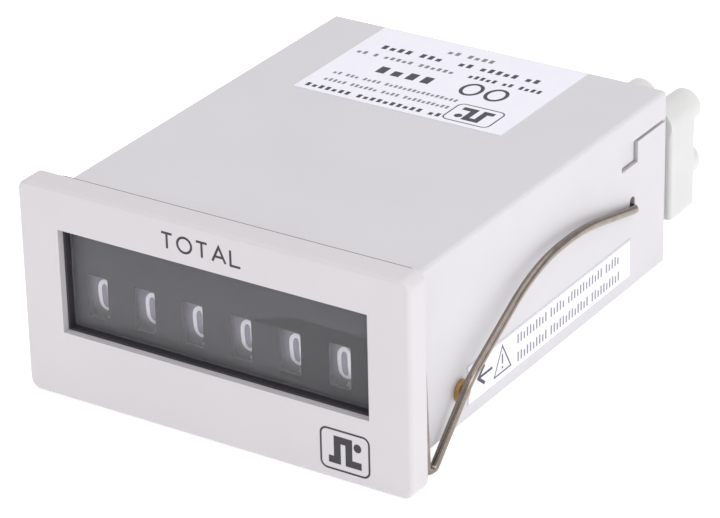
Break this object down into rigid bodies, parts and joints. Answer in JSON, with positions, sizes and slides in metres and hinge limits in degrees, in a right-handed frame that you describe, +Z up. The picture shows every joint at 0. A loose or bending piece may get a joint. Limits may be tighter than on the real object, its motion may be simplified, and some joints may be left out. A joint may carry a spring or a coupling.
{
  "type": "impulse counter",
  "caption": "Panel-mounted electromechanical impulse counter with number drums behind a window, a wire retaining clip and a rear terminal block.",
  "frame": {"origin": "centre of the bezel's back rim, the face that seats on the panel", "axes": "+X right as the counter is read, +Y back through the panel, +Z up"},
  "size_m": [0.055, 0.0768, 0.0284],
  "materials": {
    "white_abs": "satin moulded",
    "white_housing": "fine satin moulded",
    "black_abs": "matt moulded",
    "clear_acrylic": "polished",
    "natural_nylon": "translucent moulded",
    "brass": "turned",
    "nickel_wire": "drawn and plated",
    "zinc_steel": "zinc plated",
    "soft_iron": "machined",
    "copper_wire": "enamelled",
    "drum_acetal": "matt moulded",
    "sticker_paper": "satin printed",
    "board_glass": "solder resist",
    "sleeve_pvc": "shrunk sleeve",
    "epoxy": "moulded epoxy",
    "resistor_enamel": "coated",
    "pvc_lead": "extruded"
  },
  "bodies": {
    "case": {"bezel": "white_abs", "mask": "black_abs", "window_lens": "clear_acrylic", "housing": "white_housing", "rear_cover": "white_housing", "terminal_block": "natural_nylon", "terminal_barrels": "brass", "terminal_screws": "zinc_steel", "terminal_fixing_screw": "zinc_steel", "rating_label": "sticker_paper", "side_label": "sticker_paper", "mechanism_frame": "zinc_steel", "drum_shaft": "zinc_steel", "pinion_shaft": "zinc_steel", "shaft_clips": "zinc_steel", "shaft_spacers": "natural_nylon", "yoke": "soft_iron", "core": "soft_iron", "bobbin": "natural_nylon", "coil_winding": "copper_wire", "armature_pin": "zinc_steel", "spring_post": "brass", "return_spring": "zinc_steel", "yoke_screws": "zinc_steel", "circuit_board": "board_glass", "board_pillars": "natural_nylon", "bridge_rectifier": "epoxy", "capacitor": "sleeve_pvc", "dropper_resistor": "resistor_enamel", "coil_leads": "pvc_lead", "terminal_leads": "pvc_lead"},
    "spring_clip": {"spring_clip": "nickel_wire"},
    "locking_pin": {"locking_pin": "brass"},
    "armature": {"armature": "soft_iron", "drive_fork": "natural_nylon", "fork_rivets": "brass"},
    "units_drum": {"units_drum": "drum_acetal", "ratchet_wheel": "natural_nylon"},
    "tens_drum": {"tens_drum": "drum_acetal"},
    "hundreds_drum": {"hundreds_drum": "drum_acetal"},
    "thousands_drum": {"thousands_drum": "drum_acetal"},
    "ten_thousands_drum": {"ten_thousands_drum": "drum_acetal"},
    "hundred_thousands_drum": {"hundred_thousands_drum": "drum_acetal"},
    "carry_pinion_1": {"carry_pinion_1": "natural_nylon"},
    "carry_pinion_2": {"carry_pinion_2": "natural_nylon"},
    "carry_pinion_3": {"carry_pinion_3": "natural_nylon"},
    "carry_pinion_4": {"carry_pinion_4": "natural_nylon"},
    "carry_pinion_5": {"carry_pinion_5": "natural_nylon"}
  },
  "joints": [
    {"name": "clip_swing", "type": "hinge", "parent": "case", "child": "spring_clip", "pos_m": [0, 0.0534, -0.0007], "axis": [-1, 0, 0], "range_deg": [0, 110]},
    {"name": "pin_pull", "type": "slide", "parent": "case", "child": "locking_pin", "axis": [1, 0, 0], "range_m": [0, 0.008]},
    {"name": "armature_rock", "type": "hinge", "parent": "case", "child": "armature", "pos_m": [0, 0.0464, 0.0076], "axis": [1, 0, 0], "range_deg": [0, 2.8], "stiffness_Nm_per_rad": 0.005, "springref_deg": -17.19, "deforming": ["return_spring"]},
    {"name": "units_drum_spin", "type": "hinge", "parent": "case", "child": "units_drum", "pos_m": [0, 0.008, 0], "axis": [-1, 0, 0], "continuous": true},
    {"name": "tens_drum_spin", "type": "hinge", "parent": "case", "child": "tens_drum", "pos_m": [0, 0.008, 0], "axis": [-1, 0, 0], "continuous": true},
    {"name": "hundreds_drum_spin", "type": "hinge", "parent": "case", "child": "hundreds_drum", "pos_m": [0, 0.008, 0], "axis": [-1, 0, 0], "continuous": true},
    {"name": "thousands_drum_spin", "type": "hinge", "parent": "case", "child": "thousands_drum", "pos_m": [0, 0.008, 0], "axis": [-1, 0, 0], "continuous": true},
    {"name": "ten_thousands_drum_spin", "type": "hinge", "parent": "case", "child": "ten_thousands_drum", "pos_m": [0, 0.008, 0], "axis": [-1, 0, 0], "continuous": true},
    {"name": "hundred_thousands_drum_spin", "type": "hinge", "parent": "case", "child": "hundred_thousands_drum", "pos_m": [0, 0.008, 0], "axis": [-1, 0, 0], "continuous": true},
    {"name": "carry_pinion_1_spin", "type": "hinge", "parent": "case", "child": "carry_pinion_1", "pos_m": [0, 0.01785, 0], "axis": [-1, 0, 0], "continuous": true},
    {"name": "carry_pinion_2_spin", "type": "hinge", "parent": "case", "child": "carry_pinion_2", "pos_m": [0, 0.01785, 0], "axis": [-1, 0, 0], "continuous": true},
    {"name": "carry_pinion_3_spin", "type": "hinge", "parent": "case", "child": "carry_pinion_3", "pos_m": [0, 0.01785, 0], "axis": [-1, 0, 0], "continuous": true},
    {"name": "carry_pinion_4_spin", "type": "hinge", "parent": "case", "child": "carry_pinion_4", "pos_m": [0, 0.01785, 0], "axis": [-1, 0, 0], "continuous": true},
    {"name": "carry_pinion_5_spin", "type": "hinge", "parent": "case", "child": "carry_pinion_5", "pos_m": [0, 0.01785, 0], "axis": [-1, 0, 0], "continuous": true}
  ],
  "couplings": [
    {"joint": "tens_drum_spin", "follows": "units_drum_spin", "ratio": 0.1},
    {"joint": "hundreds_drum_spin", "follows": "units_drum_spin", "ratio": 0.01},
    {"joint": "thousands_drum_spin", "follows": "units_drum_spin", "ratio": 0.001},
    {"joint": "ten_thousands_drum_spin", "follows": "units_drum_spin", "ratio": 0.0001},
    {"joint": "hundred_thousands_drum_spin", "follows": "units_drum_spin", "ratio": 0.00001},
    {"joint": "carry_pinion_1_spin", "follows": "units_drum_spin", "ratio": -0.25},
    {"joint": "carry_pinion_2_spin", "follows": "units_drum_spin", "ratio": -0.025},
    {"joint": "carry_pinion_3_spin", "follows": "units_drum_spin", "ratio": -0.0025},
    {"joint": "carry_pinion_4_spin", "follows": "units_drum_spin", "ratio": -0.00025},
    {"joint": "carry_pinion_5_spin", "follows": "units_drum_spin", "ratio": -0.000025}
  ]
}
